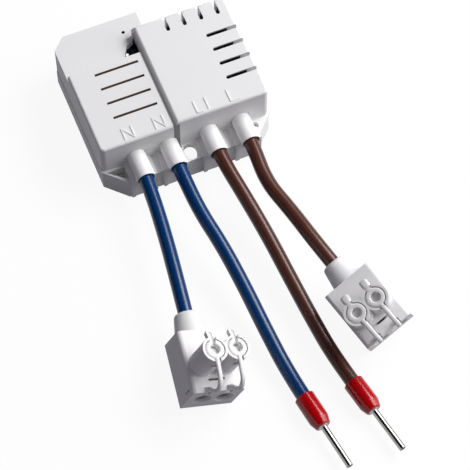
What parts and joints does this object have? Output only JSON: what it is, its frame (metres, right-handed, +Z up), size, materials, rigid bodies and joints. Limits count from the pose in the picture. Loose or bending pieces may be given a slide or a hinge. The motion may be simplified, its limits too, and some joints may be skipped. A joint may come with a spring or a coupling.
{
  "type": "wireless power switch",
  "caption": "In-wall wireless relay module: stepped plastic housing with insulated leads that end in push-in terminal blocks and ferrules.",
  "frame": {"origin": "under the middle of the housing, on the surface it lies on", "axes": "+X along the housing's width, +Y from the leads side to the back, +Z up"},
  "size_m": [0.0544, 0.1165, 0.0206],
  "materials": {
    "white_housing": "satin gloss",
    "white_sleeve": "gloss",
    "blue_insulation": "gloss",
    "brown_insulation": "gloss",
    "red_collar": "gloss",
    "tinned_copper": "bright",
    "white_terminal": "satin gloss",
    "spring_steel": "bright",
    "contact_metal": "bright",
    "board": "satin",
    "relay_plastic": "satin",
    "coil_wire": "enamelled",
    "magnet_steel": "bright",
    "capacitor_yellow": "satin",
    "varistor_blue": "satin",
    "can_black": "gloss",
    "antenna_wire": "bright",
    "plunger_plastic": "satin",
    "clear_plastic": "clear",
    "led_body": "gloss"
  },
  "bodies": {
    "module": {"base_shell": "white_housing", "top_cover": "white_housing", "cable_sleeve_1": "white_sleeve", "cable_sleeve_2": "white_sleeve", "cable_sleeve_3": "white_sleeve", "cable_sleeve_4": "white_sleeve", "blue_lead_outer": "blue_insulation", "blue_lead_inner": "blue_insulation", "brown_lead_inner": "brown_insulation", "brown_lead_outer": "brown_insulation", "ferrule_collar_left": "red_collar", "ferrule_collar_right": "red_collar", "ferrule_pin_left": "tinned_copper", "ferrule_pin_right": "tinned_copper", "lead_conductors": "tinned_copper", "terminal_body_left": "white_terminal", "terminal_neck_left": "white_terminal", "terminal_body_right": "white_terminal", "terminal_neck_right": "white_terminal", "contact_bar_left": "contact_metal", "contact_bar_right": "contact_metal", "relay_fixed_contact": "contact_metal", "main_board": "board", "radio_board": "board", "relay_base": "relay_plastic", "relay_case": "relay_plastic", "reset_switch": "relay_plastic", "relay_coil": "coil_wire", "relay_yoke": "magnet_steel", "input_capacitor": "capacitor_yellow", "supply_transformer": "capacitor_yellow", "varistor": "varistor_blue", "smoothing_capacitor": "can_black", "fuse_resistor": "can_black", "antenna": "antenna_wire", "light_guide": "clear_plastic", "status_led": "led_body"},
    "left_a_button": {"release_button_left_a": "white_terminal"},
    "left_a_spring": {"clamp_spring_left_a": "spring_steel"},
    "left_b_button": {"release_button_left_b": "white_terminal"},
    "left_b_spring": {"clamp_spring_left_b": "spring_steel"},
    "right_a_button": {"release_button_right_a": "white_terminal"},
    "right_a_spring": {"clamp_spring_right_a": "spring_steel"},
    "right_b_button": {"release_button_right_b": "white_terminal"},
    "right_b_spring": {"clamp_spring_right_b": "spring_steel"},
    "reset_plunger": {"reset_plunger": "plunger_plastic"},
    "armature": {"relay_armature": "magnet_steel", "relay_moving_contact": "contact_metal"}
  },
  "joints": [
    {"name": "left_a_press", "type": "slide", "parent": "module", "child": "left_a_button", "axis": [-0.3257, 0.1429, -0.9346], "range_m": [0, 0.0012], "stiffness_N_per_m": 800},
    {"name": "left_a_clamp", "type": "hinge", "parent": "module", "child": "left_a_spring", "pos_m": [-0.02041, -0.07, 0.00483], "axis": [-0.9344, 0.1022, 0.3412], "range_deg": [0, 11.6]},
    {"name": "left_b_press", "type": "slide", "parent": "module", "child": "left_b_button", "axis": [-0.3257, 0.1429, -0.9346], "range_m": [0, 0.0012], "stiffness_N_per_m": 800},
    {"name": "left_b_clamp", "type": "hinge", "parent": "module", "child": "left_b_spring", "pos_m": [-0.01565, -0.07053, 0.00309], "axis": [-0.9344, 0.1022, 0.3412], "range_deg": [0, 11.6]},
    {"name": "right_a_press", "type": "slide", "parent": "module", "child": "right_a_button", "axis": [0.2844, 0.2715, -0.9195], "range_m": [0, 0.0012], "stiffness_N_per_m": 800},
    {"name": "right_a_clamp", "type": "hinge", "parent": "module", "child": "right_a_spring", "pos_m": [0.02105, -0.0707, 0.00326], "axis": [-0.9128, -0.2166, -0.3463], "range_deg": [0, 11.6]},
    {"name": "right_b_press", "type": "slide", "parent": "module", "child": "right_b_button", "axis": [0.2844, 0.2715, -0.9195], "range_m": [0, 0.0012], "stiffness_N_per_m": 800},
    {"name": "right_b_clamp", "type": "hinge", "parent": "module", "child": "right_b_spring", "pos_m": [0.02571, -0.06959, 0.00502], "axis": [-0.9128, -0.2166, -0.3463], "range_deg": [0, 11.6]},
    {"name": "reset_press", "type": "slide", "parent": "module", "child": "reset_plunger", "axis": [0, 0, -1], "range_m": [0, 0.00025], "stiffness_N_per_m": 600},
    {"name": "relay_swing", "type": "hinge", "parent": "module", "child": "armature", "pos_m": [0.0122, 0.004, 0.01205], "axis": [-1, 0, 0], "range_deg": [0, 2.5], "stiffness_Nm_per_rad": 0.002}
  ],
  "couplings": [
    {"joint": "left_a_clamp", "follows": "left_a_press", "rad_per_m": 167},
    {"joint": "left_b_clamp", "follows": "left_b_press", "rad_per_m": 167},
    {"joint": "right_a_clamp", "follows": "right_a_press", "rad_per_m": 167},
    {"joint": "right_b_clamp", "follows": "right_b_press", "rad_per_m": 167}
  ]
}
